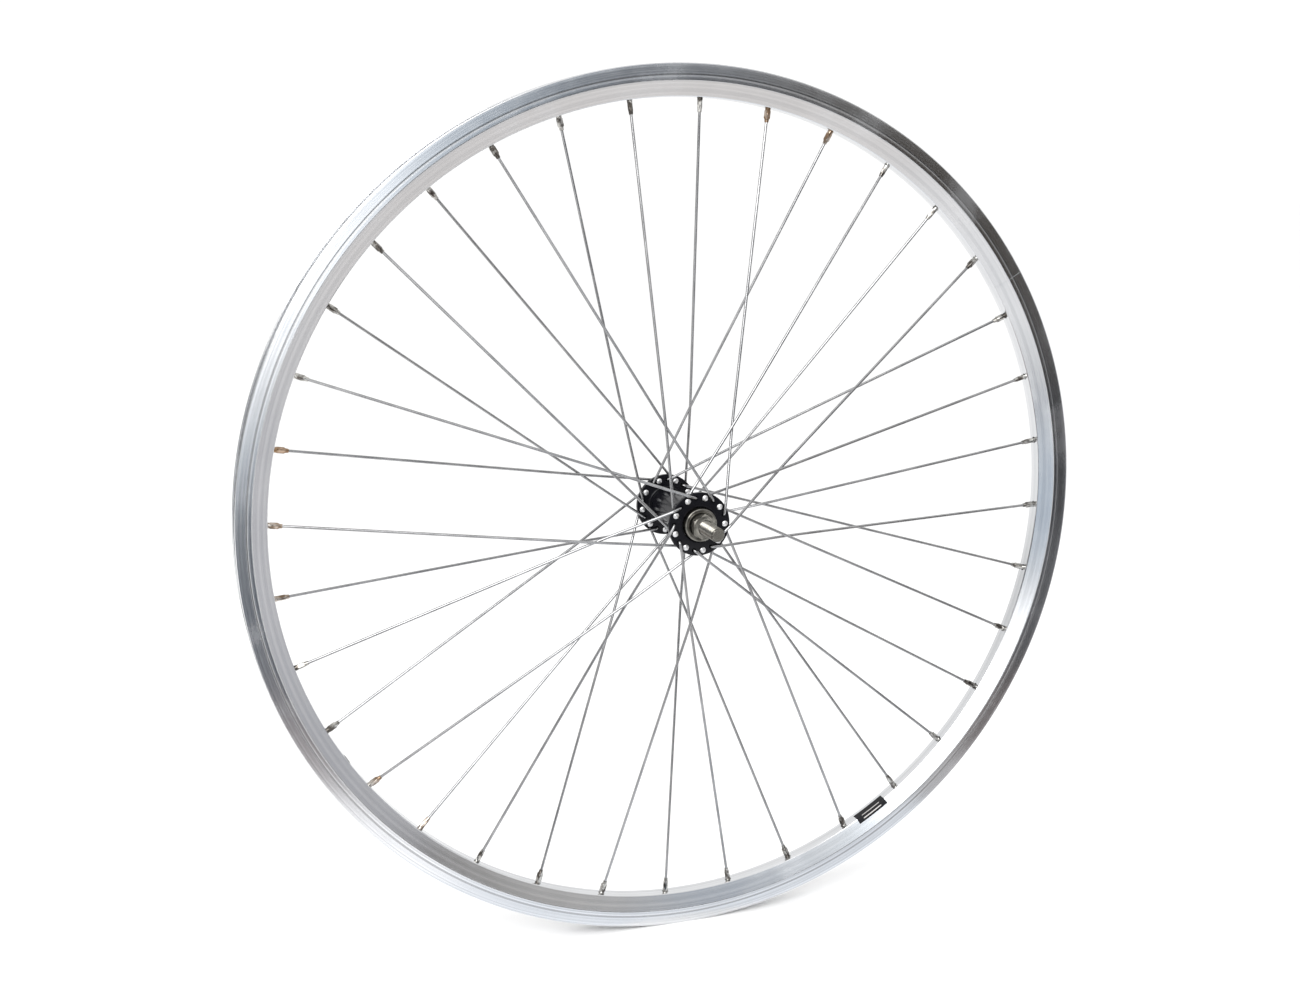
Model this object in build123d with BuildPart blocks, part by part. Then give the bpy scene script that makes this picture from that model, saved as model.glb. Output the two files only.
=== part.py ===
"""Front bicycle wheel for a 622 mm bead seat: hollow rim, 36 spokes laced three-cross, loose ball hub.

The wheel's centre is the origin and the axle lies along Y. Angles are counted from +X towards +Z.
The right side of the wheel is -Y and the left side is +Y. All sizes are in millimetres.
"""

import os
from math import cos, pi, radians, sin, sqrt, tan

from build123d import *

# Rim section
bead_seat_diameter = 622.0
rim_wall_height = 6.0
rim_width = 21.5
rim_depth = 22.2
brake_track_height = 11.5
spoke_bed_width = 9.6
spoke_bed_wall = 2.0
side_wall = 1.5
hook_wall = 2.1
bridge_wall = 1.4
well_depth = 3.0
well_width = 9.0
valve_hole_diameter = 8.5
rim_sectors = 6

# Lacing
spoke_count = 36
crosses = 3
first_hole_angle = -2.36
wire_diameter = 2.0
wire_gap = 0.1
spoke_head_diameter = 4.4
spoke_head_height = 1.3

# Nipples
nipple_reach = 10.0
nipple_across_flats = 3.6
nipple_head_width = 5.6
nipple_head_height = 2.2
nipple_clearance = 0.3

# Hub shell
flange_spacing = 72.0
flange_diameter = 45.6
flange_thickness = 3.2
spoke_hole_diameter = 2.6
spoke_hole_edge = 3.8
barrel_diameter = 27.0
hub_bore_diameter = 14.0

# Bearings, one set on each side
ball_diameter = 4.76
ball_count = 10
ball_circle_diameter = 16.4
ball_plane = 33.4
running_clearance = 0.06
hub_mouth_diameter = 24.0
cup_floor = 1.4
cup_track_diameter = 22.0
cup_bore_diameter = 17.0
dust_cap_seat = 2.6
dust_cap_stand = 4.0
dust_cap_wall = 0.9
dust_cap_gap = 0.6

# Axle set
axle_length = 150.0
axle_diameter = 10.0
thread_depth = 0.5
over_locknuts = 100.0
cone_diameter = 15.4
cone_nose_wall = 1.0
lock_washer_diameter = 16.0
lock_washer_thickness = 1.8
locknut_across_flats = 17.0
locknut_thickness = 4.6
locknut_countersink = 0.6

# Flats that stand for a full round: on the rim, the hub, wire, small turned pieces and pressed caps
rim_flat_count = 2 * spoke_count
hub_flat_count = spoke_count
wire_flat_count = 6
turned_flat_count = 12
cap_flat_count = 18

# Places that follow from the sizes above
seat_radius = bead_seat_diameter / 2
rim_radius = seat_radius + rim_wall_height
bed_radius = rim_radius - rim_depth
bed_inner_radius = bed_radius + spoke_bed_wall
bed_middle_radius = bed_radius + spoke_bed_wall / 2
track_radius = rim_radius - brake_track_height
well_radius = seat_radius - well_depth
roof_radius = well_radius - bridge_wall
half_rim = rim_width / 2
half_bed = spoke_bed_width / 2
half_well = well_width / 2
wire_radius = wire_diameter / 2 * sqrt(2 * pi / wire_flat_count / sin(2 * pi / wire_flat_count))
flange_radius = flange_diameter / 2
hole_circle_radius = flange_radius - spoke_hole_edge
flange_plane = flange_spacing / 2
flange_inner_face = flange_plane - flange_thickness / 2
flange_outer_face = flange_plane + flange_thickness / 2
hole_pitch = 720.0 / spoke_count
nipple_pitch = 360.0 / spoke_count
lacing_angle = crosses * hole_pitch
crossing_angle = (crosses - 0.5) * hole_pitch
valve_angle = first_hole_angle + (spoke_count / 2 + 3.5) * nipple_pitch
ball_radius = ball_diameter / 2
ball_circle_radius = ball_circle_diameter / 2
track_offset = (ball_radius + running_clearance) * sqrt(2)
mouth_radius = hub_mouth_diameter / 2
cup_back = ball_plane - ball_radius - cup_floor
cup_track_radius = cup_track_diameter / 2
cup_bore_radius = cup_bore_diameter / 2
cup_front = ball_plane - ball_circle_radius + cup_track_radius - track_offset
cap_radius = mouth_radius - running_clearance
cap_back = flange_outer_face - dust_cap_seat
cap_face = flange_outer_face + dust_cap_stand
cone_radius = cone_diameter / 2
core_radius = axle_diameter / 2 - thread_depth
nut_bore_radius = core_radius + running_clearance
nose_radius = nut_bore_radius + cone_nose_wall
cone_nose = ball_plane - ball_circle_radius + nose_radius + track_offset
locknut_face = over_locknuts / 2
locknut_back = locknut_face - locknut_thickness
cone_face = locknut_back - lock_washer_thickness
sides = {"right": -1, "left": 1}
layers = {"inner": -1, "outer": 1}


def polar(radius, angle, y=0.0):
    """Point at a radius and an angle round the axle, and at a distance y along it."""
    return Vector(radius * cos(radians(angle)), y, radius * sin(radians(angle)))


def flat_path(radius, flat_count):
    """Corners of a closed path round the axle, with the middle of one flat at the first hole's angle."""
    return [polar(radius, first_hole_angle + (flat + 0.5) * 360.0 / flat_count) for flat in range(flat_count)]


def across(side, y):
    """Plane across the axle at a distance y towards one side, facing outwards."""
    return Plane(origin=(0, side * y, 0), x_dir=(1, 0, 0), z_dir=(0, side, 0))


def hole_angle(side, layer, turn):
    """Angle of a spoke's hole in its flange. The left flange is turned by one nipple pitch."""
    angle = first_hole_angle + 2 * hole_pitch * turn
    if side == sides["left"]:
        angle += nipple_pitch
    if layer == layers["outer"]:
        angle += hole_pitch
    return angle


def spoke_corners(side, layer, turn):
    """Corners of one spoke's centre line, from its head in the flange to its hole in the rim.

    An inner spoke has its head outside the flange and leans backwards, an outer spoke the other way round.
    An outer spoke lies against the flange up to its edge. At the last crossing it passes behind the inner
    spoke, so both are bent there.
    """
    angle = hole_angle(side, layer, turn)
    hole = polar(hole_circle_radius, angle)
    rim_seat = polar(bed_middle_radius, angle + layer * lacing_angle)
    heading = (rim_seat - hole).normalized()
    sight = polar(1.0, angle + layer * crossing_angle)
    hole_offset = hole.X * sight.Z - hole.Z * sight.X
    rim_offset = rim_seat.X * sight.Z - rim_seat.Z * sight.X
    share = hole_offset / (hole_offset - rim_offset)
    head_y = flange_plane - layer * flange_thickness / 2
    elbow_y = flange_plane + layer * (flange_thickness / 2 + wire_radius + wire_gap)
    crossing_y = flange_plane * (1 - share) - layer * (wire_radius + wire_gap)
    corners = [hole + Vector(0, side * head_y, 0), hole + Vector(0, side * elbow_y, 0)]
    if layer == layers["outer"]:
        inward = hole.dot(heading)
        to_edge = sqrt(inward**2 + flange_radius**2 - hole_circle_radius**2) - inward
        corners.append(hole + heading * (to_edge + wire_gap) + Vector(0, side * elbow_y, 0))
    corners.append(hole + (rim_seat - hole) * share + Vector(0, side * crossing_y, 0))
    corners.append(rim_seat)
    return corners


spoke_places = [
    (side_name, layer_name, turn)
    for side_name in sides
    for layer_name in layers
    for turn in range(spoke_count // 4)
]
lacing = {
    f"{side_name}_{layer_name}_spoke_{turn + 1}": spoke_corners(sides[side_name], layers[layer_name], turn)
    for side_name, layer_name, turn in spoke_places
}
nipple_planes = [
    Plane(origin=corners[-1], x_dir=(0, 1, 0), z_dir=corners[-1] - corners[-2]) for corners in lacing.values()
]
nipple_lean = max(plane.z_dir.get_angle(plane.origin) for plane in nipple_planes)
nipple_hole_width = nipple_across_flats + 2 * nipple_clearance
head_tilt = nipple_head_width / sqrt(2) * tan(radians(nipple_lean))
nipple_seat = spoke_bed_wall / 2 + head_tilt + running_clearance
nipple_mouth = spoke_bed_wall / 2 + nipple_reach

os.makedirs("parts", exist_ok=True)

# Plane through the axle and the first hole, for the sections of rim and hub
along_section = polar(1.0, first_hole_angle)
section = Plane(origin=(0, 0, 0), x_dir=along_section, z_dir=polar(1.0, first_hole_angle - 90.0))

# Rim, a hollow extrusion rolled to a hoop, with hooked walls, bead seats and a drop well between them
with BuildPart() as rim:
    with BuildLine():
        Polyline(*flat_path(rim_radius, rim_flat_count), close=True)
    with BuildSketch(section):
        with BuildLine():
            Polyline(
                (rim_radius, -half_rim),
                (track_radius, -half_rim),
                (bed_radius, -half_bed),
                (bed_radius, half_bed),
                (track_radius, half_rim),
                (rim_radius, half_rim),
                (rim_radius, half_rim - hook_wall),
                (seat_radius, half_rim - side_wall),
                (well_radius, half_well),
                (well_radius, -half_well),
                (seat_radius, side_wall - half_rim),
                (rim_radius, hook_wall - half_rim),
                close=True,
            )
        make_face()
        with BuildLine():
            Polyline(
                (bed_inner_radius, -half_bed),
                (bed_inner_radius, half_bed),
                (roof_radius, half_rim - 2 * side_wall),
                (roof_radius, 2 * side_wall - half_rim),
                close=True,
            )
        make_face(mode=Mode.SUBTRACT)
    sweep(transition=Transition.RIGHT)
    # Spoke holes point at the axle, with room for the nipples to lean
    hole_planes = [Plane(origin=plane.origin, x_dir=(0, 1, 0), z_dir=plane.origin) for plane in nipple_planes]
    with BuildSketch(*hole_planes):
        Rectangle(nipple_hole_width, nipple_hole_width)
    extrude(amount=spoke_bed_wall, both=True, mode=Mode.SUBTRACT)
    # Valve hole through bed and bridge, half way between two spokes
    with BuildSketch(Plane(origin=polar(seat_radius, valve_angle), z_dir=polar(-1.0, valve_angle))):
        Circle(valve_hole_diameter / 2)
    extrude(amount=rim_depth, mode=Mode.SUBTRACT)
    # The hoop is kept as sectors that meet face to face, because one closed ring would count as a full disc
    for turn in range(rim_sectors // 2):
        cut_angle = valve_angle + (turn + 0.5) * 360.0 / rim_sectors
        cut_plane = Plane(origin=(0, 0, 0), x_dir=(0, 1, 0), z_dir=polar(1.0, cut_angle + 90.0))
        split(bisect_by=cut_plane, keep=Keep.BOTH)
rim.part.label = "rim"
export_step(rim.part, "parts/rim.step")

# Nipples, square barrels on the ends of the spokes, each with a head inside the spoke bed
with BuildPart() as nipples:
    with BuildSketch(*[plane.offset(nipple_seat) for plane in nipple_planes]):
        Rectangle(nipple_across_flats, nipple_across_flats)
    extrude(amount=-(nipple_seat + nipple_mouth))
    with BuildSketch(*[plane.offset(nipple_seat) for plane in nipple_planes]):
        Rectangle(nipple_head_width, nipple_head_width)
    extrude(amount=nipple_head_height)
nipples.part.label = "nipples"
export_step(nipples.part, "parts/nipples.step")

# Spokes, headed wire with an elbow at the flange and a slight bend at the last crossing
for spoke_name, corners in lacing.items():
    head_plane = Plane(origin=corners[0], x_dir=(1, 0, 0), z_dir=corners[0] - corners[1])
    along = (corners[-1] - corners[-2]).normalized()
    with BuildPart() as spoke:
        with BuildLine():
            Polyline(*corners[:-1], corners[-1] - along * nipple_mouth)
        with BuildSketch(head_plane):
            RegularPolygon(wire_radius, wire_flat_count)
        sweep(transition=Transition.RIGHT)
        with BuildSketch(head_plane):
            RegularPolygon(spoke_head_diameter / 2, wire_flat_count)
        extrude(amount=spoke_head_height)
    spoke.part.label = spoke_name
    export_step(spoke.part, f"parts/{spoke_name}.step")

# Hub shell, turned from one bar, with two drilled flanges and a mouth for a bearing cup in each end
with BuildPart() as hub_shell:
    with BuildLine():
        Polyline(*flat_path(flange_radius, hub_flat_count), close=True)
    with BuildSketch(section):
        with BuildLine():
            Polyline(
                (hub_bore_diameter / 2, 0),
                (barrel_diameter / 2, 0),
                (barrel_diameter / 2, flange_inner_face),
                (flange_radius, flange_inner_face),
                (flange_radius, flange_outer_face),
                (mouth_radius, flange_outer_face),
                (mouth_radius, cup_back),
                (hub_bore_diameter / 2, cup_back),
                close=True,
            )
        make_face()
        mirror(about=Plane.XZ)
    sweep(transition=Transition.RIGHT)
    for side_name, layer_name, turn in spoke_places:
        side = sides[side_name]
        hole = polar(hole_circle_radius, hole_angle(side, layers[layer_name], turn), side * flange_plane)
        with BuildSketch(Plane(origin=hole, x_dir=(1, 0, 0), z_dir=(0, 1, 0))):
            Rectangle(spoke_hole_diameter, spoke_hole_diameter)
    extrude(amount=flange_thickness, both=True, mode=Mode.SUBTRACT)
hub_shell.part.label = "hub_shell"
export_step(hub_shell.part, "parts/hub_shell.step")

# Axle, threaded over its whole length, drawn at its core where the nuts and cones hold it
with BuildPart() as axle:
    with BuildSketch():
        with BuildLine():
            Polyline(
                (0, -axle_length / 2),
                (axle_diameter / 2, -axle_length / 2),
                (axle_diameter / 2, -locknut_face),
                (core_radius, -locknut_face),
                (core_radius, locknut_face),
                (axle_diameter / 2, locknut_face),
                (axle_diameter / 2, axle_length / 2),
                (0, axle_length / 2),
                close=True,
            )
        make_face()
    revolve(axis=Axis.Y)
axle.part.label = "axle"
export_step(axle.part, "parts/axle.step")

# One ball, drawn with flats whose corners lie on its round
ball_facet = ball_radius / sqrt(5 + 2 * sqrt(2))
with BuildPart() as ball:
    Box(*3 * [2 * (1 + sqrt(2)) * ball_facet])
    chamfer(ball.edges(), length=sqrt(2) * ball_facet)

for side_name, side in sides.items():
    # Balls, loose in their track
    with BuildPart() as balls:
        with Locations(across(side, ball_plane)):
            with PolarLocations(ball_circle_radius, ball_count):
                add(ball.part)
    balls.part.label = f"{side_name}_balls"
    export_step(balls.part, f"parts/{side_name}_balls.step")

    # Bearing cup, pressed into the hub's mouth, with a sloping track for the balls
    with BuildPart() as bearing_cup:
        with BuildSketch(across(side, cup_back)):
            RegularPolygon(cap_radius, turned_flat_count)
            RegularPolygon(cup_bore_radius, turned_flat_count, major_radius=False, mode=Mode.SUBTRACT)
        extrude(amount=cup_front - cup_back)
        front_face = bearing_cup.faces().filter_by(Plane.XZ).sort_by(Axis.Y)[-1 if side > 0 else 0]
        chamfer(front_face.inner_wires().edges(), length=cup_track_radius - cup_bore_radius)
    bearing_cup.part.label = f"{side_name}_bearing_cup"
    export_step(bearing_cup.part, f"parts/{side_name}_bearing_cup.step")

    # Dust cap, a pressed ring that closes the hub end round the cone
    with BuildPart() as dust_cap:
        with BuildSketch(across(side, cap_back)):
            RegularPolygon(cap_radius, cap_flat_count)
            RegularPolygon(cap_radius - dust_cap_wall, cap_flat_count, mode=Mode.SUBTRACT)
        extrude(amount=cap_face - cap_back)
        with BuildSketch(across(side, cap_face)):
            RegularPolygon(cap_radius, cap_flat_count)
            RegularPolygon(cone_radius + dust_cap_gap, cap_flat_count, major_radius=False, mode=Mode.SUBTRACT)
        extrude(amount=-dust_cap_wall)
    dust_cap.part.label = f"{side_name}_dust_cap"
    export_step(dust_cap.part, f"parts/{side_name}_dust_cap.step")

    # Cone, screwed onto the axle, with the inner track for the balls on its nose
    with BuildPart() as cone:
        with BuildSketch(across(side, cone_nose)):
            RegularPolygon(cone_radius, turned_flat_count)
        extrude(amount=cone_face - cone_nose)
        nose_face = cone.faces().sort_by(Axis.Y)[0 if side > 0 else -1]
        chamfer(nose_face.edges(), length=cone_radius - nose_radius)
        with BuildSketch(across(side, cone_face)):
            RegularPolygon(nut_bore_radius, turned_flat_count, major_radius=False)
        extrude(amount=cone_nose - cone_face, mode=Mode.SUBTRACT)
    cone.part.label = f"{side_name}_cone"
    export_step(cone.part, f"parts/{side_name}_cone.step")

    # Lock washer between cone and locknut
    with BuildPart() as lock_washer:
        with BuildSketch(across(side, cone_face)):
            RegularPolygon(lock_washer_diameter / 2, turned_flat_count)
            RegularPolygon(nut_bore_radius, turned_flat_count, major_radius=False, mode=Mode.SUBTRACT)
        extrude(amount=lock_washer_thickness)
    lock_washer.part.label = f"{side_name}_lock_washer"
    export_step(lock_washer.part, f"parts/{side_name}_lock_washer.step")

    # Locknut, a hexagon whose outer face lies against the fork
    with BuildPart() as locknut:
        with BuildSketch(across(side, locknut_back)):
            RegularPolygon(locknut_across_flats / 2, 6, major_radius=False)
            RegularPolygon(nut_bore_radius, turned_flat_count, major_radius=False, mode=Mode.SUBTRACT)
        extrude(amount=locknut_thickness)
        outer_face = locknut.faces().sort_by(Axis.Y)[-1 if side > 0 else 0]
        chamfer(outer_face.inner_wires().edges(), length=locknut_countersink)
    locknut.part.label = f"{side_name}_locknut"
    export_step(locknut.part, f"parts/{side_name}_locknut.step")
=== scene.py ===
"""Bare front bicycle wheel: black hub on a threaded axle, crossed steel spokes, nickel nipples, polished rim.

Metres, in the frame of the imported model: the axle lies along Y, the right side is -Y, and angles are counted
from +X towards +Z.
"""

import bmesh
import bpy
import numpy as np
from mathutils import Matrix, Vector


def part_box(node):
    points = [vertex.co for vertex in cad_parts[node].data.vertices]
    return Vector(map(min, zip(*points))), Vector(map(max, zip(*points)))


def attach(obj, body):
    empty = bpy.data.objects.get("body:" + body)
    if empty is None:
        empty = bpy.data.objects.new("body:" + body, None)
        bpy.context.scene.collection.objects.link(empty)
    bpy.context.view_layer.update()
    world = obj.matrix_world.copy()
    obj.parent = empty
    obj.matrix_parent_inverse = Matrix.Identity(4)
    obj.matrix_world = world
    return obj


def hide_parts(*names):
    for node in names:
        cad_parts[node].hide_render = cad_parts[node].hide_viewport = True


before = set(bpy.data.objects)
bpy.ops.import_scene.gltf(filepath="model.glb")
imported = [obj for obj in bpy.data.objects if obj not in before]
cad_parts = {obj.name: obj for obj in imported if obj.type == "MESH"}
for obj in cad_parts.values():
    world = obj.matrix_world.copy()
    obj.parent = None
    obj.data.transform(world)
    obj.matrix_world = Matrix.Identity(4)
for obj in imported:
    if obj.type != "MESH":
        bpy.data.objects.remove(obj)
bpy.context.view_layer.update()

# HUB SHELL
# Turned from one bar and sprayed gloss black. Each flange is drilled for half of the spokes, with the edges
# of the holes broken, and the middle is waisted into the flanges with a small radius.

sides = {"right": -1.0, "left": 1.0}
flange_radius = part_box("hub_shell")[1].x
flange_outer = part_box("hub_shell")[1].y
flange_thickness = 0.0032
flange_inner = flange_outer - flange_thickness
flange_middle = (flange_inner + flange_outer) / 2
flange_round = 0.0006
waist_radius = 0.0131
waist_fillet = 0.0016
hub_bore_radius = 0.007
mouth_radius = 0.012
cup_back = 0.02962
holes_per_flange = 18
hole_inset = 0.0038
hole_circle_radius = flange_radius - hole_inset
drill_half_band = 0.0027
hole_radius = 0.0013
hole_break = 0.00025
first_hole = np.radians(-2.36)
nipple_pitch = np.radians(10.0)
hole_pitch = 2 * nipple_pitch


def unit(vectors):
    """Vectors divided by their own length, along the last axis."""
    return vectors / np.linalg.norm(vectors, axis=-1, keepdims=True)


def rounded(corners, trims, steps=6, guard=1.3):
    """Line through corners with the inner ones rounded.

    From trim before a corner c to trim after it, at a and b, it follows (1-t)^2 a + 2t(1-t) c + t^2 b. One
    point on each side, guard times as far out, keeps the shading of the straight stretches flat.
    """
    corners = np.asarray(corners, float)
    corner = corners[..., 1:-1, None, :]
    trims = np.broadcast_to(np.asarray(trims, float), corner.shape[:-2])[..., None, None]
    start = trims * unit(corners[..., :-2, None, :] - corner)
    end = trims * unit(corners[..., 2:, None, :] - corner)
    t = np.linspace(0, 1, steps)[:, None]
    curve = (1 - t) ** 2 * start + t**2 * end
    bends = corner + np.concatenate([guard * start, curve, guard * end], axis=-2)
    bends = bends.reshape(*corner.shape[:-3], -1, corner.shape[-1])
    return np.concatenate([corners[..., :1, :], bends, corners[..., -1:, :]], axis=-2)


def turned(radius, angle, y):
    """Points at a radius and an angle round the axle, and at y along it: (r cos a, y, r sin a)."""
    radius, angle, y = np.broadcast_arrays(radius, angle, y)
    return np.stack([radius * np.cos(angle), y, radius * np.sin(angle)], axis=-1)


def border(along, across):
    """Once round a rectangle: along it at the first of across, over to the last, back, and over again."""
    return np.concatenate([
        np.stack([along[:-1], np.full(len(along) - 1, across[0])], axis=1),
        np.stack([np.full(len(across) - 1, along[-1]), across[:-1]], axis=1),
        np.stack([along[:0:-1], np.full(len(along) - 1, across[-1])], axis=1),
        np.stack([np.full(len(across), along[0]), across[::-1]], axis=1),
    ])


def pierced(edge, radius, shares):
    """Grid between a round hole at (0, 0) and a closed edge round it.

    The hole's points h lie at radius in the directions of the edge's points e, and each row is
    h + share (e - h).
    """
    hole = radius * unit(edge)
    return hole + np.asarray(shares)[:, None, None] * (edge - hole)


def piece(name, body, grids, material, replaced=(), sharp=32.0):
    """One object from grids of points, rows by columns: quads between neighbours, welded where they meet."""
    grids = [g for grid in grids for g in (grid if grid.ndim == 4 else [grid])]
    points = np.concatenate([g.reshape(-1, 3) for g in grids])
    quads, strip, start = [], [], 0
    for g in grids:
        index = start + np.arange(g.shape[0] * g.shape[1]).reshape(g.shape[:2])
        around = [index[:-1, :-1], index[:-1, 1:], index[1:, 1:], index[1:, :-1]]
        quads.append(np.stack(around, axis=-1).reshape(-1, 4))
        shares = [np.linspace(0, 1, count) for count in g.shape[:2]]
        row, column = np.meshgrid(*shares, indexing="ij")
        strip.append(np.stack([column, row], axis=-1).reshape(-1, 2))
        start += index.size
    quads, strip = np.concatenate(quads), np.concatenate(strip)
    mesh = bpy.data.meshes.new(name)
    mesh.vertices.add(len(points))
    mesh.vertices.foreach_set("co", points.ravel())
    mesh.loops.add(quads.size)
    mesh.loops.foreach_set("vertex_index", quads.ravel())
    mesh.polygons.add(len(quads))
    mesh.polygons.foreach_set("loop_start", np.arange(0, quads.size, 4))
    mesh.uv_layers.new(name="strip").uv.foreach_set("vector", strip[quads.ravel()].ravel())
    mesh.update(calc_edges=True)
    shell = bmesh.new()
    shell.from_mesh(mesh)
    bmesh.ops.remove_doubles(shell, verts=shell.verts, dist=2e-6)
    bmesh.ops.recalc_face_normals(shell, faces=shell.faces)
    shell.to_mesh(mesh)
    shell.free()
    mesh.shade_smooth()
    mesh.set_sharp_from_angle(angle=np.radians(sharp))
    mesh.materials.append(material)
    made = bpy.data.objects.new(name, mesh)
    bpy.context.scene.collection.objects.link(made)
    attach(made, body)
    if replaced:
        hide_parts(*replaced)


class Shade:
    """A value in a material's node tree. Arithmetic on it adds Math nodes, and node() adds any other node."""

    def __init__(self, tree, socket=None):
        self.tree, self.socket = tree, socket

    def node(self, kind, settings, sockets, output=0):
        """Adds a node of that kind, with its settings made first, and gives one of its outputs."""
        made = self.tree.nodes.new("ShaderNode" + kind)
        for name, value in settings.items():
            setattr(made, name, value)
        for name, value in sockets.items():
            self.feed(made, name, value)
        return Shade(self.tree, made.outputs[output])

    def feed(self, shader, name, value):
        """Links a value to a socket, or sets it there where it is a number, a colour or a vector."""
        if isinstance(value, Shade):
            self.tree.links.new(value.socket, shader.inputs[name])
        else:
            shader.inputs[name].default_value = value

    def math(self, operation, *values):
        """Math node on values, which are numbers or other values."""
        return self.node("Math", {"operation": operation}, dict(enumerate(values)))

    def __add__(self, other):
        return self.math("ADD", self, other)

    def __sub__(self, other):
        return self.math("SUBTRACT", self, other)

    def __rsub__(self, other):
        return self.math("SUBTRACT", other, self)

    def __mul__(self, other):
        return self.math("MULTIPLY", self, other)

    def __truediv__(self, other):
        return self.math("DIVIDE", self, other)

    def __rtruediv__(self, other):
        return self.math("DIVIDE", other, self)

    __radd__, __rmul__ = __add__, __mul__

    def above(self, low, high):
        """0 below low, 1 above high, and a smooth step between."""
        return self.node("MapRange", {"interpolation_type": "SMOOTHSTEP"}, {0: self, 1: low, 2: high})

    def tint(self, first, second):
        """The first colour at 0 and the second at 1. Each is three numbers or a colour from other nodes."""
        first, second = (c if isinstance(c, Shade) else (*c, 1) for c in (first, second))
        return self.node("Mix", {"data_type": "RGBA"}, {0: self, 6: first, 7: second}, output=2)

    def noise(self, place, scale, detail=2.0):
        """Soft noise from 0 to 1 at a place."""
        return self.node("TexNoise", {}, {"Vector": place, "Scale": scale, "Detail": detail})

    def bump(self, strength, distance):
        """Normal of a surface that has this value as its height."""
        return self.node("Bump", {}, {"Strength": strength, "Distance": distance, "Height": self})

    def parts(self):
        """The three numbers of a vector."""
        split = self.node("SeparateXYZ", {}, {0: self}).socket.node
        return [Shade(self.tree, part) for part in split.outputs]

    def here(self):
        """Object coordinates as a vector, and the three of them apart."""
        place = self.node("TexCoord", {}, {}, output=3)
        return place, place.parts()

    def on_strip(self):
        """Place on a piece's own grid, from 0 to 1: along its columns, and along its rows."""
        return self.node("UVMap", {"uv_map": "strip"}, {}).parts()[:2]

    def vector(self, x, y, z):
        """Vector of three values."""
        return self.node("CombineXYZ", {}, {0: x, 1: y, 2: z})


def finish(name, **fixed):
    """New material, its shader with the inputs that are the same all over, and a value to start from."""
    material = bpy.data.materials.new(name)
    material.use_nodes = True
    shader = material.node_tree.nodes["Principled BSDF"]
    for socket, value in fixed.items():
        shader.inputs[socket.replace("_", " ")].default_value = value
    return material, shader, Shade(material.node_tree)


gloss_black, shader, shade = finish("gloss_black_lacquer", Specular_IOR_Level=0.14, Coat_Roughness=0.05)
place, _ = shade.here()
orange_peel = shade.noise(place, 420.0)
dust_and_groove_shade = shade.noise(place, 1900.0, 1.0).above(0.70, 0.78)
shade.feed(shader, "Base Color", dust_and_groove_shade.tint((0.005, 0.005, 0.007), (0.022, 0.022, 0.026)))
shade.feed(shader, "Roughness", orange_peel * 0.1 + dust_and_groove_shade * 0.12 + 0.12)
shade.feed(shader, "Coat Weight", 0.1 - dust_and_groove_shade * 0.08)
shade.feed(shader, "Normal", orange_peel.bump(0.04, 0.0002))

# The drilled band of a flange is divided into cells, one round each hole
cell_steps = 8
drill_outer, drill_inner = hole_circle_radius + drill_half_band, hole_circle_radius - drill_half_band
cell_shares = np.linspace(-0.5, 0.5, cell_steps + 1)
share, out = border(cell_shares, np.linspace(drill_outer, drill_inner, cell_steps + 1)).T
cell_edge = np.stack([
    out * np.cos(share * hole_pitch) - hole_circle_radius, out * np.sin(share * hole_pitch),
], axis=1)


def flange_start(side):
    """Angle of a flange's first hole. The left flange's holes lie midway between the right one's."""
    return first_hole + (side > 0) * nipple_pitch


def drilled_face(side, y, radius):
    """One flat face of a flange: a cell (out, along) with a hole in it, turned by the angle a of each hole.

    x = out cos a - along sin a, z = out sin a + along cos a.
    """
    cell = pierced(cell_edge, radius, [0, 0.12, 0.4, 1.0])
    angle = flange_start(side) + hole_pitch * np.arange(holes_per_flange)[:, None, None]
    out, along = cell[..., 0] + hole_circle_radius, cell[..., 1]
    x = out * np.cos(angle) - along * np.sin(angle)
    z = out * np.sin(angle) + along * np.cos(angle)
    return np.stack([x, np.full_like(x, side * y), z], axis=-1)


flange_edge = rounded([
    (drill_outer, flange_inner), (flange_radius, flange_inner),
    (flange_radius, flange_outer), (drill_outer, flange_outer),
], flange_round)
waist = rounded([(waist_radius, 0), (waist_radius, flange_inner), (drill_inner, flange_inner)], waist_fillet)
mouth = rounded([
    (drill_inner, flange_outer), (mouth_radius + 0.0012, flange_outer),
    (mouth_radius + 0.0004, flange_outer - 0.0005), (mouth_radius, cup_back),
    (hub_bore_radius, cup_back), (hub_bore_radius, 0),
], [0.0003, 0.0003, 0.0002, 0.0002])
bore_rows = [
    # y, and radius of the hole there
    (flange_inner, hole_radius + hole_break), (flange_inner + hole_break, hole_radius),
    (flange_outer - hole_break, hole_radius), (flange_outer, hole_radius + hole_break),
]
hub_grids = []
for side in sides.values():
    holes_along = np.arange(holes_per_flange * cell_steps + 1) / cell_steps - 0.5
    turn = flange_start(side) + holes_along * hole_pitch
    hub_grids += [turned(p[:, :1], turn, side * p[:, 1:]) for p in (flange_edge, waist, mouth)]
    hub_grids += [drilled_face(side, *bore_rows[0]), drilled_face(side, *bore_rows[-1])]
    hub_grids.append(np.stack([drilled_face(side, *row)[:, 0] for row in bore_rows], axis=1))
piece("black_hub", "wheel", hub_grids, gloss_black, ["hub_shell"])

# BEARINGS
# Hardened steel cups pressed into the mouths of the hub, with ten loose balls in each. The balls roll on the
# cup's sloping track and on the nose of the cone.

cup_radius = 0.0119
cup_lip_radius = 0.0110
cup_bore_radius = 0.0086
cup_mouth = 0.03273
cup_track_foot = 0.0304
ball_radius = 0.00238
ball_circle_radius = 0.0082
ball_plane = 0.0334
balls_per_side = 10
ball_rows, ball_columns = 12, 24


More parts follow.
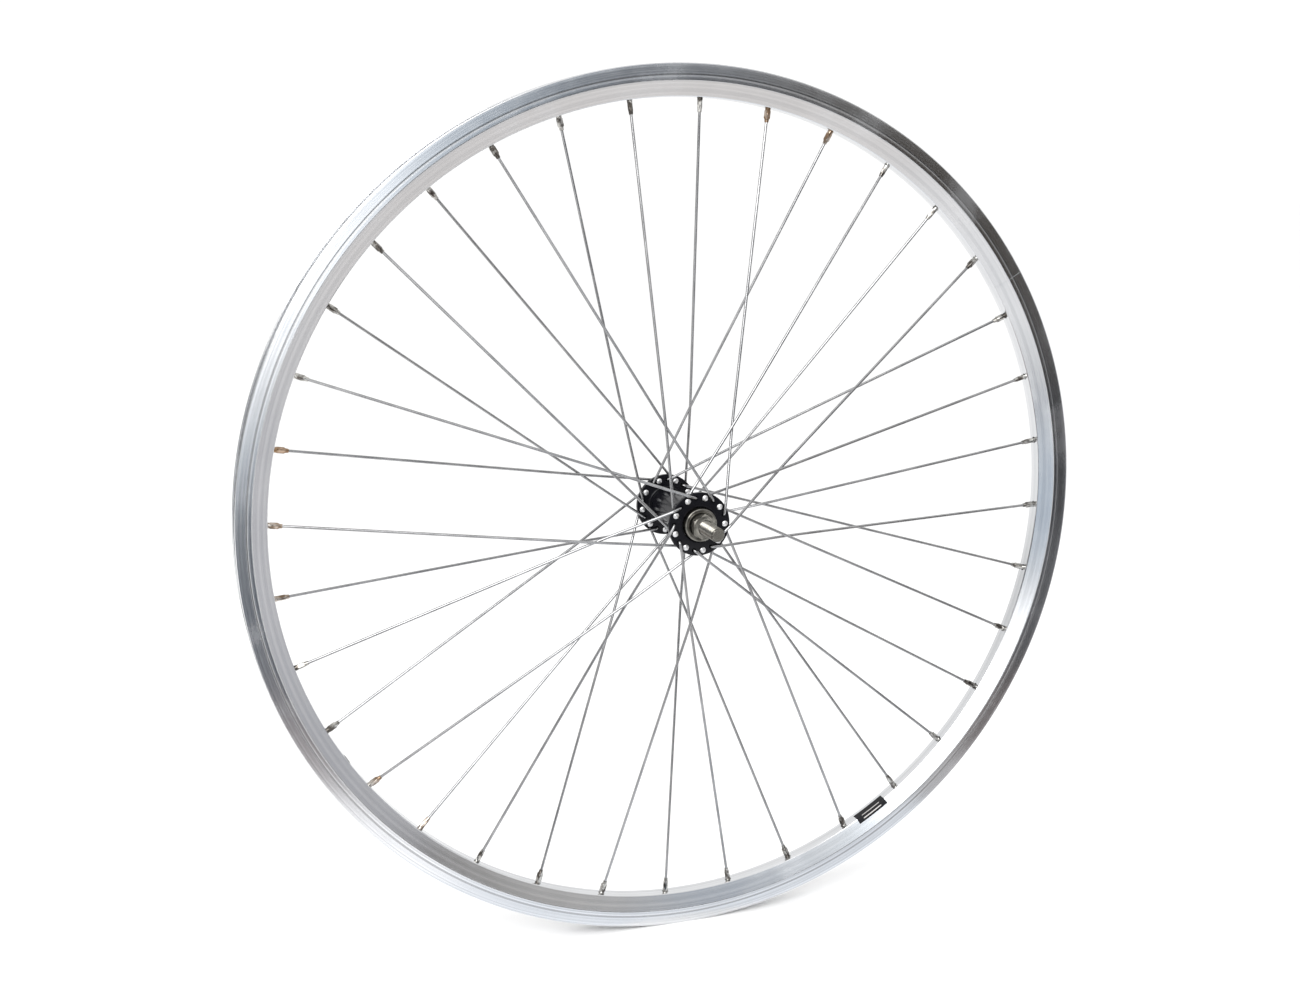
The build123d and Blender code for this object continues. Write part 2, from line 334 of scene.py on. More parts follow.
def lathe(profile, columns=96):
    """Profile of (radius, y) rows carried once round the axle."""
    angle = np.linspace(0, 2 * np.pi, columns + 1)
    return turned(profile[:, :1], angle, profile[:, 1:])


def turned_place(shade):
    """Place for marks left by turning, and the radius r.

    The place is (1000 r, 1000 y, 0.6 x / r + 0.35 z / r): fine along r and y, and long round the axle.
    """
    _, (x, y, z) = shade.here()
    radius = shade.math("SQRT", x * x + z * z)
    off_axis = radius + 0.0001
    return shade.vector(radius * 1000, y * 1000, x / off_axis * 0.6 + z / off_axis * 0.35), radius


ground_steel, shader, shade = finish("ground_steel", Metallic=1.0)
marks, _ = turned_place(shade)
grain = shade.noise(marks, 9.0)
shade.feed(shader, "Base Color", grain.tint((0.42, 0.41, 0.40), (0.62, 0.61, 0.59)))
shade.feed(shader, "Roughness", grain * 0.15 + 0.22)

cup = rounded([
    (cup_bore_radius, cup_back), (cup_radius, cup_back), (cup_radius, cup_mouth), (cup_lip_radius, cup_mouth),
    (cup_bore_radius, cup_track_foot), (cup_bore_radius, cup_back),
], [0.0003, 0.0003, 0.0002, 0.0005])
latitude = np.linspace(0, np.pi, ball_rows + 1)[:, None]
longitude = np.linspace(0, 2 * np.pi, ball_columns + 1)
ball = ball_radius * turned(np.sin(latitude), longitude, np.cos(latitude))
ball_angle = 2 * np.pi * np.arange(balls_per_side) / balls_per_side
for side_name, side in sides.items():
    piece(
        side_name + "_cup", "wheel", [lathe(cup * (1, side), 64)],
        ground_steel, [side_name + "_bearing_cup"],
    )
    ball_centre = turned(ball_circle_radius, ball_angle, side * ball_plane)[:, None, None]
    piece(
        side_name + "_ball_ring", side_name + "_ball_ring", [ball_centre + ball],
        ground_steel, [side_name + "_balls"],
    )

# AXLE
# A solid steel rod of 10 mm, with a thread rolled over its whole length and chamfered ends. The cones and the
# locknuts screw onto it, and its bare ends go into the slots of a fork.

axle_radius = 0.005
axle_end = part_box("axle")[1].y
thread_pitch = 0.001
thread_depth = 0.00054
end_chamfer = 0.0011
end_shares = np.array([[1.0], [0.55], [0.0]])
thread_columns = 48

axle_steel, shader, shade = finish("rolled_axle_steel", Metallic=1.0)
marks, radius = turned_place(shade)
stain = shade.noise(marks, 0.35, 3.0)
grain = shade.noise(marks, 14.0)
# Painted shade darkens the roots of the thread, and not the flat ends; a random stain darkens it too
off_crest = 1 - radius.above(axle_radius - thread_depth, axle_radius - 0.0001)
root_shade = off_crest * radius.above(0.0040, 0.0043)
stain_and_root_shade = stain * 0.5 + root_shade * 0.5
shade.feed(shader, "Base Color", stain_and_root_shade.tint((0.30, 0.288, 0.258), (0.035, 0.033, 0.028)))
shade.feed(shader, "Roughness", grain * 0.1 + stain * 0.08 + 0.14)

# Rows of the grid follow the thread: a crest of 1/8 of the pitch, a root of 1/4, and flanks at 60 degrees
thread_phase = np.array([0, 1 / 8, 7 / 16, 11 / 16])
thread_sunk = np.array([0, 0, 1, 1])
turn_count = int(np.ceil(axle_end / thread_pitch)) + 1
thread_start = (np.arange(-turn_count, turn_count)[:, None] + thread_phase).reshape(-1, 1) * thread_pitch
thread_turn = np.linspace(0, 2 * np.pi, thread_columns + 1)
thread_y = np.clip(thread_start + thread_pitch * thread_turn / (2 * np.pi), -axle_end, axle_end)
thread_radius = np.tile(axle_radius - thread_depth * thread_sunk, 2 * turn_count)[:, None]
thread_radius = np.minimum(thread_radius, axle_radius - end_chamfer + (axle_end - np.abs(thread_y)))
thread = turned(thread_radius, thread_turn, thread_y)
axle_ends = [turned(thread_radius[[row]] * end_shares, thread_turn, thread_y[row]) for row in (0, -1)]
piece("threaded_axle", "axle_set", [thread, *axle_ends], axle_steel, ["axle"], sharp=30)

# CONES, DUST CAPS AND LOCKNUTS
# The cone screws onto the axle and its nose is the inner ball track. A pressed steel cap closes the gap round
# it, and a toothed washer and a hexagonal locknut with a serrated face hold it in place against the fork.

screw_radius = 0.0051
cone_radius = 0.0077
cone_nose_radius = 0.0058
cone_nose = 0.0346
cone_shoulder = 0.0364
cone_outer = 0.0436
washer_radius = 0.0079
cap_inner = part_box("left_dust_cap")[0].y
cap_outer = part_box("left_dust_cap")[1].y
cap_radius = 0.0119
cap_wall_radius = cap_radius - 0.0008
nut_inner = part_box("left_locknut")[0].y
nut_half_flats = 0.0085
serration_depth = 0.00028
serration_count = 40
hex_columns = 240

pressed_steel, shader, shade = finish("pressed_zinc_steel", Metallic=1.0)
marks, _ = turned_place(shade)
grain = shade.noise(marks, 6.0)
stain = shade.noise(shade.here()[0], 260.0, 3.0)
shade.feed(shader, "Base Color", stain.above(0.35, 0.8).tint((0.27, 0.26, 0.232), (0.10, 0.096, 0.085)))
shade.feed(shader, "Roughness", grain * 0.16 + stain * 0.08 + 0.18)
shade.feed(shader, "Normal", grain.bump(0.25, 0.0001))

cone = rounded([
    (screw_radius, cone_nose), (cone_nose_radius, cone_nose), (cone_radius, cone_shoulder),
    (cone_radius, cone_outer), (screw_radius, cone_outer), (screw_radius, cone_nose),
], [0.0002, 0.0005, 0.0003, 0.0002])
dish = rounded([
    (cap_wall_radius, cap_inner), (cap_radius, cap_inner), (cap_radius, cap_outer),
    (0.0098, cap_outer - 0.0001), (0.0086, cap_outer - 0.0010), (0.0084, cap_outer - 0.0018),
    (0.0092, cap_outer - 0.0015), (0.0101, cap_outer - 0.0009), (cap_wall_radius, cap_outer - 0.0012),
    (cap_wall_radius, cap_inner),
], [0.0002, 0.0010, 0.0004, 0.0004, 0.0002, 0.0003, 0.0003, 0.0004])
washer = rounded([
    (screw_radius, cone_outer), (washer_radius, cone_outer), (washer_radius, nut_inner),
    (screw_radius, nut_inner), (screw_radius, cone_outer),
], [0.0003, 0.0003, 0.0001])
nut_rows = np.array([
    # round that cuts the hexagon's corners off, distance from the inner face, share of the serration
    (screw_radius, 0, 0), (0.0081, 0, 0), (0.0091, 0.0005, 0), (0.0101, 0.0011, 0),
    (0.0101, 0.0035, 0), (0.0091, 0.0041, 0), (0.0084, 0.0045, 0), (0.0079, 0.0046, 1),
    (0.0060, 0.0046, 1), (0.0055, 0.0046, 0), (screw_radius, 0.0042, 0), (screw_radius, 0, 0),
])
hex_turn = np.linspace(0, 2 * np.pi, hex_columns + 1)
hex_radius = nut_half_flats / np.cos((hex_turn + np.pi / 6) % (np.pi / 3) - np.pi / 6)
serration = serration_depth * (0.5 + 0.5 * np.cos(serration_count * hex_turn))
nut_y = nut_inner + nut_rows[:, 1:2] - nut_rows[:, 2:] * serration
nut_radius = np.minimum(nut_rows[:, :1], hex_radius)
for side_name, side in sides.items():
    piece(
        side_name + "_ground_cone", "axle_set", [lathe(cone * (1, side), 72)],
        ground_steel, [side_name + "_cone"],
    )
    piece(
        side_name + "_dished_cap", "wheel", [lathe(dish * (1, side))],
        pressed_steel, [side_name + "_dust_cap"],
    )
    piece(
        side_name + "_toothed_washer", "axle_set", [lathe(washer * (1, side), 72)],
        pressed_steel, [side_name + "_lock_washer"],
    )
    piece(
        side_name + "_hex_locknut", "axle_set", [turned(nut_radius, hex_turn, side * nut_y)],
        pressed_steel, [side_name + "_locknut"],
    )

# SPOKES
# Drawn steel wire of 2 mm, headed and bent at the hub. The nine on a flange's outer face lean forwards and
# the nine on its inner face back. Each crosses three others, and the outer ones pass behind the last of
# them, so the wire is sprung slightly there.

wire_radius = 0.001
wire_reach = 0.0011
wire_gap = 0.0001
head_radius = 0.0022
spokes_per_layer = 9
rim_radius = 0.317
bed_radius = rim_radius - 0.0222
bed_wall = 0.002
nipple_reach = 0.010
spoke_in_nipple = 0.004
lacing_angle = 3 * hole_pitch
crossing_angle = 2.5 * hole_pitch
elbow_trims = [0.0021, 0.0018, 0.014]


def lace(side, layer):
    """Corners of nine spokes' lines: head, elbow, edge of the flange, last crossing and hole in the rim.

    An inner spoke (layer -1) has its head outside the flange and leans back. An outer one (layer 1) leans
    forwards and lies along the flange to its edge. At the crossing the outer passes behind the inner.
    """
    angle = flange_start(side) + 2 * hole_pitch * np.arange(spokes_per_layer) + (layer > 0) * hole_pitch
    hole = turned(hole_circle_radius, angle, 0.0)
    seat = turned(bed_radius + bed_wall / 2, angle + layer * lacing_angle, 0.0)
    heading = unit(seat - hole)
    sight = turned(1.0, angle + layer * crossing_angle, 0.0)
    off_hole = hole[:, 0] * sight[:, 2] - hole[:, 2] * sight[:, 0]
    off_seat = seat[:, 0] * sight[:, 2] - seat[:, 2] * sight[:, 0]
    share = (off_hole / (off_hole - off_seat))[:, None]
    axis = np.array([0.0, side, 0.0])
    half_flange = flange_outer - flange_middle
    head_y = flange_middle - layer * half_flange
    elbow_y = flange_middle + layer * (half_flange + wire_reach + wire_gap)
    crossing_y = flange_middle * (1 - share) - layer * (wire_reach + wire_gap)
    inward = (hole * heading).sum(axis=1, keepdims=True)
    to_edge = np.sqrt(inward**2 + flange_radius**2 - hole_circle_radius**2) - inward + wire_gap
    edge_y = elbow_y
    if layer < 0:
        to_edge = to_edge / 2
        to_crossing = np.linalg.norm((seat - hole) * share, axis=1, keepdims=True)
        edge_y = elbow_y + (crossing_y - elbow_y) * to_edge / to_crossing
    return np.stack([
        hole + axis * head_y, hole + axis * elbow_y, hole + heading * to_edge + axis * edge_y,
        hole + (seat - hole) * share + axis * crossing_y, seat,
    ], axis=1)


def wires(line, radius, lift, columns=20):
    """Round tubes along lines (spokes, rows, xyz): line + radius (cos a side + sin a up) at each row.

    Side is the part of lift that is square to the line, and up is square to both.
    """
    ahead = unit(np.gradient(line, axis=1))
    lift = unit(lift)[:, None]
    side_way = unit(lift - (lift * ahead).sum(-1, keepdims=True) * ahead)
    up_way = np.cross(ahead, side_way)
    angle = np.linspace(0, 2 * np.pi, columns + 1)[:, None]
    ring = np.cos(angle) * side_way[:, :, None] + np.sin(angle) * up_way[:, :, None]
    return line[:, :, None] + np.asarray(radius)[None, :, None, None] * ring


drawn_steel, shader, shade = finish("drawn_spoke_steel", Metallic=1.0)
round_wire, along_wire = shade.on_strip()
streak = shade.noise(shade.vector(round_wire * 14, along_wire * 9, 0.0), 1.0, 3.0)
# The heads are coloured nearly white: a painted highlight. It is mixed below with a random tone along the
# wires
painted_head_highlight = 1 - along_wire.above(0.12, 0.17)
haze = shade.noise(shade.here()[0], 60.0)
tone_and_painted_light = (haze * 0.5 + streak * 0.5).above(0.3, 0.7) * 0.3 + painted_head_highlight * 0.7
shade.feed(shader, "Base Color", tone_and_painted_light.tint((0.26, 0.26, 0.265), (0.86, 0.86, 0.86)))
shade.feed(shader, "Roughness", streak * 0.16 + haze * 0.08 + painted_head_highlight * 0.2 + 0.1)

# Rows of a head, from its top down: distance out of the flange, and radius
head_dome = np.radians([0, 25, 48, 66, 80])
head_rows = np.append(0.00035 + 0.00095 * np.cos(head_dome), [0.0002, 0.0, -0.0005, -0.0012])
head_sizes = np.append(head_radius * np.sin(head_dome), [head_radius, 0.0018, 0.0012, wire_radius])
tip = 1e-5
lacing = {}
for side_name, side in sides.items():
    for layer_name, layer in (("inner", -1.0), ("outer", 1.0)):
        corners = lace(side, layer)
        lacing[side_name, layer_name] = corners
        run = unit(corners[:, -1] - corners[:, -2])
        end = corners[:, -1] - run * (bed_wall / 2 + nipple_reach - spoke_in_nipple)
        bent = rounded(np.concatenate([corners[:, :-1], end[:, None]], axis=1), elbow_trims, 9)
        out_of_hole = unit(corners[:, 0] - corners[:, 1])
        head = corners[:, :1] + head_rows[:, None] * out_of_hole[:, None]
        line = np.concatenate([head, bent[:, 1:], bent[:, -1:] + tip * run[:, None]], axis=1)
        wire_sizes = np.full(bent.shape[1] - 1, wire_radius)
        sizes = np.concatenate([head_sizes, wire_sizes, [0.0]])
        for number, tube in enumerate(wires(line, sizes, np.cross(run, out_of_hole)), start=1):
            piece(
                f"{side_name}_{layer_name}_wire_{number}", "wheel", [tube],
                drawn_steel, [f"{side_name}_{layer_name}_spoke_{number}"], sharp=45,
            )

# NIPPLES
# Nickel plated brass, screwed onto the spokes from outside the rim: a round shank in the rim's hole, flats
# for the key, a tapered mouth, and a domed head inside the spoke bed.

nickel, shader, shade = finish("nickel_plate", Metallic=1.0)
place, _ = shade.here()
tarnish = shade.noise(place, 210.0, 3.0)
grain = shade.noise(place, 1500.0)
plating = tarnish.above(0.4, 0.62).tint((0.52, 0.51, 0.485), (0.10, 0.09, 0.08))
worn = shade.noise(place, 9.0, 1.0).above(0.57, 0.67) * 0.7
shade.feed(shader, "Base Color", worn.tint(plating, (0.34, 0.20, 0.10)))
shade.feed(shader, "Roughness", grain * 0.1 + tarnish * 0.12 + 0.05)

nipple_columns = 32
nipple_seat = bed_wall / 2 + 0.0006
nipple_mouth = bed_wall / 2 + nipple_reach
nipple_bore_end = 0.0009 - nipple_mouth
nipple_rows = np.array([
    # distance outwards from the bed's middle, half width, power of the section: 2 is round, 9 nearly square
    (nipple_seat + 0.0021, 0.0000, 2), (nipple_seat + 0.0020, 0.0012, 2), (nipple_seat + 0.0016, 0.0021, 2),
    (nipple_seat + 0.0010, 0.0027, 2), (nipple_seat + 0.0005, 0.0028, 2), (nipple_seat + 0.0002, 0.0026, 2),
    (nipple_seat, 0.0020, 2), (-0.0022, 0.00195, 2), (-0.0027, 0.00185, 3), (-0.0031, 0.00172, 9),
    (-0.0080, 0.00172, 9), (-0.0084, 0.00170, 3), (-0.0090, 0.00162, 2), (1e-4 - nipple_mouth, 0.00142, 2),
    (-nipple_mouth, 0.00128, 2), (-nipple_mouth, 0.00108, 2), (nipple_bore_end, 0.00100, 2),
    (nipple_bore_end, 0.0, 2),
])
# The section at an angle a is (|cos a|^power + |sin a|^power)^(-1/power) wide
square_turn = np.linspace(0, 2 * np.pi, nipple_columns + 1)
power = nipple_rows[:, 2:]
square = (np.abs(np.cos(square_turn)) ** power + np.abs(np.sin(square_turn)) ** power) ** (-1 / power)
corners = np.concatenate(list(lacing.values()))
seat = corners[:, -1][:, None, None]
run = unit(corners[:, -1] - corners[:, -2])[:, None, None]
across = unit(np.cross(run, seat))
level = np.cross(run, across)
ring = np.cos(square_turn)[:, None] * across + np.sin(square_turn)[:, None] * level
nipples = seat + nipple_rows[:, :1, None] * run + (nipple_rows[:, 1:2] * square)[..., None] * ring
piece("nickel_nipples", "wheel", [nipples], nickel, ["nipples"], sharp=40)

# RIM
# A hollow aluminium extrusion rolled to a hoop, pinned at a seam opposite the valve hole and polished. Flat
# side walls with a wear groove are the brake tracks, sloping walls lead to the spoke bed, and hooked walls
# hold the tyre.

half_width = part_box("rim")[1].y
track_radius = 0.3055
half_bed = 0.0048
bed_flat = 0.0040
well_radius = 0.308
well_half = 0.0046
well_flat = 0.0044
roof_radius = well_radius - 0.0014
roof_half = 0.00775
seat_radius = 0.311
seat_half = 0.00925
hook_half = 0.00865
hook_low, hook_high = 0.3136, 0.3148
groove_radius = 0.3090
groove_half = 0.0007
groove_floor_half = 0.0003
groove_depth = 0.00008
nipple_hole = 0.00225
access_hole = 0.0036
valve_hole = 0.00425
rim_hole_break = 0.0002
hole_margin = 0.0002

# The hoop is divided into cells: even ones hold a nipple, odd ones lie between two nipples
cell_count = 72
valve_cell = 43
seam_cell = 7
seam_depth = 0.00006
cell_angle = 2 * np.pi / cell_count
plain_steps = np.linspace(-0.5, 0.5, 7) * cell_angle
seam_steps = np.array([-0.5, -0.012, -0.006, 0, 0.006, 0.012, 0.5]) * cell_angle
seam_reach = 0.004 * cell_angle
across_count = 9
cell_middle = first_hole + cell_angle * np.arange(cell_count)
cell_turns = np.where((np.arange(cell_count) == seam_cell)[:, None], seam_steps, plain_steps)
hoop_end = cell_middle[0] - cell_angle / 2 + 2 * np.pi
hoop_angle = np.append((cell_middle[:, None] + cell_turns[:, :-1]).ravel(), hoop_end)


def wall(profile, seam=0.0):
    """Profile of (radius, y) rows carried round the hoop, with a notch at the seam that fades at its ends."""
    along = np.gradient(profile, axis=0)
    inward = unit(np.stack([along[:, 1], -along[:, 0]], axis=1))
    row = np.arange(len(profile))
    fade = np.clip(np.minimum(row, row[::-1]) / 3 - 0.7, 0, 1)[:, None]
    notch = seam * (np.abs(hoop_angle - cell_middle[seam_cell]) < seam_reach)
    sunk = profile[:, None] + inward[:, None] * (notch * fade)[..., None]
    return turned(sunk[..., 0], hoop_angle, sunk[..., 1])


def hoop_cells(half_flat, hole, shares):
    """Grids round a nipple hole and round the valve hole, as (metres round the hoop at the spoke bed, y)."""
    edge = border(plain_steps * bed_radius, np.linspace(half_flat, -half_flat, across_count))
    return pierced(edge, hole, shares), pierced(edge, min(valve_hole, half_flat - hole_margin), shares)


def hoop_holes(radius, drilled, valve):
    """Cells laid on the hoop at a radius, at the angle (metres / bed radius) from each one's middle."""
    return [
        turned(radius, cell_middle[::2, None, None] + drilled[..., 0] / bed_radius, drilled[..., 1]),
        turned(radius, cell_middle[valve_cell] + valve[..., 0] / bed_radius, valve[..., 1]),
    ]


def floor_of_hoop(radius, half_flat, hole):
    """Flat band of the hoop in cells: holes at the nipples and at the valve, plain between them."""
    plain = [cell for cell in range(1, cell_count, 2) if cell != valve_cell]
    plain_angle = (cell_middle[:, None] + cell_turns)[plain][:, None]
    y = np.linspace(half_flat, -half_flat, across_count)[:, None]
    return [
        *hoop_holes(radius, *hoop_cells(half_flat, hole, [0, 0.08, 0.3, 1.0])),
        turned(radius, plain_angle, y),
    ]


def hole_walls(levels, half_flat):
    """Walls of the holes between two bands. A level is (radius of the hoop, radius of the nipple holes)."""
    cells = [hoop_cells(half_flat, hole, [0]) for _, hole in levels]
    drilled, valve = (np.concatenate(rows) for rows in zip(*cells))
    depth = np.array([radius for radius, _ in levels])[:, None]
    return hoop_holes(depth, drilled, valve)


polished, shader, shade = finish("polished_aluminium", Metallic=1.0)
place, (rim_x, rim_y, rim_z) = shade.here()
radius = shade.math("SQRT", rim_x * rim_x + rim_z * rim_z)
off_middle = shade.math("ABSOLUTE", rim_y)
off_groove = shade.math("ABSOLUTE", radius - groove_radius)
lap = shade.vector(radius * 1000, rim_y * 1000, (rim_x + rim_z * 0.7) * 2.2)
lines = shade.noise(lap, 4.0, 3.0)
bands = shade.noise(lap, 0.55, 1.0)
smudge = shade.noise(place, 26.0, 4.0)
wear = (lines * 0.4 + bands * 0.6).above(0.3, 0.7)
track = off_middle.above(half_width - 0.0004, half_width - 0.0001)
# The wear groove on each brake track is painted dark: painted shade in the groove
dust_and_groove_shade = (1 - off_groove.above(0.0005, 0.0009)) * track * 0.42
# The floor of the tyre channel is painted lighter: painted light against the shade inside it
channel_painted_light = radius.above(well_radius - 0.0005, well_radius - 0.0001) * (1 - off_middle.above(0.0094, 0.0099))
tone_and_painted_light = wear * (track * 0.5 + 0.3) + smudge * 0.3 - track * 0.42 + channel_painted_light * 0.15
metal = tone_and_painted_light.tint((0.54, 0.55, 0.565), (0.97, 0.973, 0.98))
shade.feed(shader, "Base Color", dust_and_groove_shade.tint(metal, (0.14, 0.138, 0.135)))
shade.feed(shader, "Roughness", 0.12 + lines * 0.1 + bands * track * 0.1 + smudge.above(0.45, 0.75) * 0.1)
shade.feed(shader, "Normal", (bands * (track * 0.8 + 0.2)).bump(0.5, 0.0001))

outside = rounded([
    (bed_radius, bed_flat), (bed_radius, half_bed), (track_radius, half_width),
    (groove_radius - groove_half, half_width), (groove_radius - groove_floor_half, half_width - groove_depth),
    (groove_radius + groove_floor_half, half_width - groove_depth), (groove_radius + groove_half, half_width),
    (rim_radius, half_width), (rim_radius, hook_half), (hook_high, hook_half), (hook_low, seat_half),
    (seat_radius, seat_half), (well_radius, well_half), (well_radius, well_flat),
], [0.0006, 0.0005, 0.0001, 0.00009, 0.00009, 0.0001, 0.0007, 0.0006, 0.0005, 0.0005, 0.0006, 0.0001], 3)
bed_inside = bed_radius + bed_wall
chamber = np.array([
    (bed_inside, bed_flat), (bed_inside, half_bed), (roof_radius, roof_half), (roof_radius, well_flat),
])
rim_grids = []
for side in sides.values():
    rim_grids += [wall(outside, seam_depth) * (1, side, 1), wall(chamber) * (1, side, 1)]
wide_nipple_hole = nipple_hole + rim_hole_break
wide_access_hole = access_hole + rim_hole_break
rim_grids += floor_of_hoop(bed_radius, bed_flat, wide_nipple_hole)
rim_grids += floor_of_hoop(bed_inside, bed_flat, nipple_hole)
rim_grids += floor_of_hoop(roof_radius, well_flat, access_hole)
rim_grids += floor_of_hoop(well_radius, well_flat, wide_access_hole)
rim_grids += hole_walls([
    (bed_radius, wide_nipple_hole), (bed_radius + rim_hole_break, nipple_hole), (bed_inside, nipple_hole),
], bed_flat)
rim_grids += hole_walls([
    (roof_radius, access_hole), (well_radius - rim_hole_break, access_hole), (well_radius, wide_access_hole),
], well_flat)
piece("polished_rim", "wheel", rim_grids, polished, ["rim"], sharp=28)

# LABEL
# A small black sticker of printed film, wrapped from the spoke bed over its edge onto the right-hand slope.
# It carries two plain pale bars.

label_angle = np.radians(302.4)
label_half_angle = np.radians(2.65)
label_on_bed = -0.0017
label_foot = 0.2985
label_bend = 0.0006
label_lift = 0.00012
label_sunk = -0.00005
label_steps = 25

sticker, shader, shade = finish("black_sticker", Specular_IOR_Level=0.12, Coat_Roughness=0.2)
long_way, high_way = shade.on_strip()
within = long_way.above(0.2, 0.23) * (1 - long_way.above(0.78, 0.81))
between = high_way.above(0.42, 0.46) * (1 - high_way.above(0.86, 0.9))
bars = shade.math("SINE", high_way * 26.0).above(0.55, 0.75) * between
fibres = shade.noise(shade.here()[0], 900.0)
shade.feed(shader, "Base Color", (within * bars * 0.9).tint((0.008, 0.008, 0.010), (0.62, 0.60, 0.58)))
shade.feed(shader, "Roughness", fibres * 0.15 + 0.3)
shade.feed(shader, "Coat Weight", fibres * 0.1)

foot_share = (label_foot - bed_radius) / (track_radius - bed_radius)
label_line = rounded([
    (bed_radius, label_on_bed), (bed_radius, half_bed),
    (label_foot, half_bed + foot_share * (half_width - half_bed)),
], label_bend)
line_length = np.append(0, np.cumsum(np.linalg.norm(np.diff(label_line, axis=0), axis=1)))
label_rows = np.linspace(0, line_length[-1], label_steps)
label_path = np.stack([np.interp(label_rows, line_length, way) for way in label_line.T], axis=1)
label_along = np.gradient(label_path, axis=0)
label_out = unit(np.stack([-label_along[:, 1], label_along[:, 0]], axis=1))
# The first and last rows and columns come twice, so that the front can turn down to the back there
label_edge = np.r_[0, :label_steps, label_steps - 1]
label_back = np.full((len(label_edge), len(label_edge)), label_sunk)
label_front = np.full_like(label_back, label_lift)
label_front[[0, -1]] = label_front[:, [0, -1]] = label_sunk


def on_rim(lift):
    """Grid over the label: its path across the rim + lift along the path's normal, carried along the hoop."""
    surface = label_path[label_edge][:, None] + label_out[label_edge][:, None] * lift[..., None]
    angle = label_angle + label_half_angle * np.linspace(-1, 1, label_steps)[label_edge]
    return turned(surface[..., 0], angle, -surface[..., 1])


piece("black_label", "wheel", [on_rim(label_front), on_rim(label_back)], sticker)

# STUDIO
# A pale floor under the wheel, and a white surround with one large soft light. Cards of plain colour stand
# round the wheel. They show only as reflections, and give the polished metal something to mirror.

floor_height = -rim_radius
floor_reach = 30
low_card, floor_card, high_card = floor_height + 0.001, floor_height + 0.002, floor_height + 0.003


def panel(name, corner, first_edge, second_edge, paint):
    """Flat panel of the studio: corner + u first_edge + v second_edge, with u and v from 0 to 1."""
    shares = np.array([(0, 0), (1, 0), (1, 1), (0, 1)])
    points = np.array(corner) + shares @ np.array([first_edge, second_edge])
    mesh = bpy.data.meshes.new(name)
    mesh.from_pydata(points.tolist(), [], [(0, 1, 2, 3)])
    mesh.materials.append(paint)
    made = bpy.data.objects.new(name, mesh)
    bpy.context.scene.collection.objects.link(made)
    return made


def card(name, corner, first_edge, second_edge, colour):
    """Panel of one colour and brightness, which only shows in reflections."""
    paint, _, _ = finish(
        name, Base_Color=(0, 0, 0, 1), Specular_IOR_Level=0.0,
        Emission_Color=(*colour, 1), Emission_Strength=1.0,
    )
    made = panel(name, corner, first_edge, second_edge, paint)
    made.visible_camera = made.visible_diffuse = made.visible_shadow = False


floor_paint, _, _ = finish("floor_paint", Roughness=0.9, Base_Color=(0.97, 0.97, 0.97, 1))
floor_corner = (-floor_reach, -floor_reach, floor_height)
panel("studio_floor", floor_corner, (2 * floor_reach, 0, 0), (0, 2 * floor_reach, 0), floor_paint)

world = bpy.data.worlds.new("white_surround")
bpy.context.scene.world = world
world.use_nodes = True
world.node_tree.nodes["Background"].inputs["Color"].default_value = (1.0, 1.0, 1.0, 1)
world.node_tree.nodes["Background"].inputs["Strength"].default_value = 1.06
bpy.context.scene.view_settings.view_transform = "Standard"

# The right-hand brake track mirrors the front: dark at its top and right, white and then blue at its left
card("dark_front", (0.30, -1.5, -0.12), (0.40, 0, 0), (0, 0, 0.59), (0.082, 0.086, 0.098))
card("darkest_front", (0.70, -1.5, -0.12), (0.72, 0, 0), (0, 0, 0.57), (0.045, 0.032, 0.018))
card("dark_right", (0.38, -0.25, -0.09), (0.14, 0, 0), (0, 0, 0.15), (0.035, 0.035, 0.038))
card("dim_right", (0.38, -0.25, -0.235), (0.14, 0, 0), (0, 0, 0.145), (0.12, 0.12, 0.128))
card("rose_right", (0.36, -0.25, floor_height), (0.16, 0, 0), (0, 0, 0.082), (0.13, 0.095, 0.09))
card("grey_front", (0.20, -1.25, floor_height), (1.25, 0, 0), (0, 0, 0.26), (0.10, 0.10, 0.105))
card("grey_blue_front", (0.10, -1.5, 0.1), (0.20, 0, 0), (0, 0, 0.37), (0.35, 0.44, 0.54))
card("pale_blue_front", (-0.05, -1.5, 0.0), (0.15, 0, 0), (0, 0, 0.47), (1.35, 1.45, 1.55))
card("white_front", (-0.42, -1.5, 0.0), (0.37, 0, 0), (0, 0, 0.55), (2.8, 2.82, 2.85))
card("light_blue_front", (-0.5, -1.25, floor_height), (0.4, 0, 0), (0, 0, 0.195), (0.46, 0.57, 0.70))
card("blue_left", (-0.42, -0.6, floor_height), (0.30, 0, 0), (0, 0, 0.25), (0.10, 0.12, 0.15))
card("blue_left_floor", (-0.42, -0.6, high_card), (0.28, 0, 0), (0, 0.26, 0), (0.34, 0.29, 0.285))
card("bright_near_floor", (-0.25, -0.28, low_card), (0.53, 0, 0), (0, 0.26, 0), (1.12, 1.16, 1.22))
card("white_near_floor", (-0.30, -0.33, floor_card), (0.17, 0, 0), (0, 0.2, 0), (1.5, 1.5, 1.52))
card("rose_near_floor", (0.28, -0.36, low_card), (0.16, 0, 0), (0, 0.26, 0), (0.68, 0.665, 0.67))
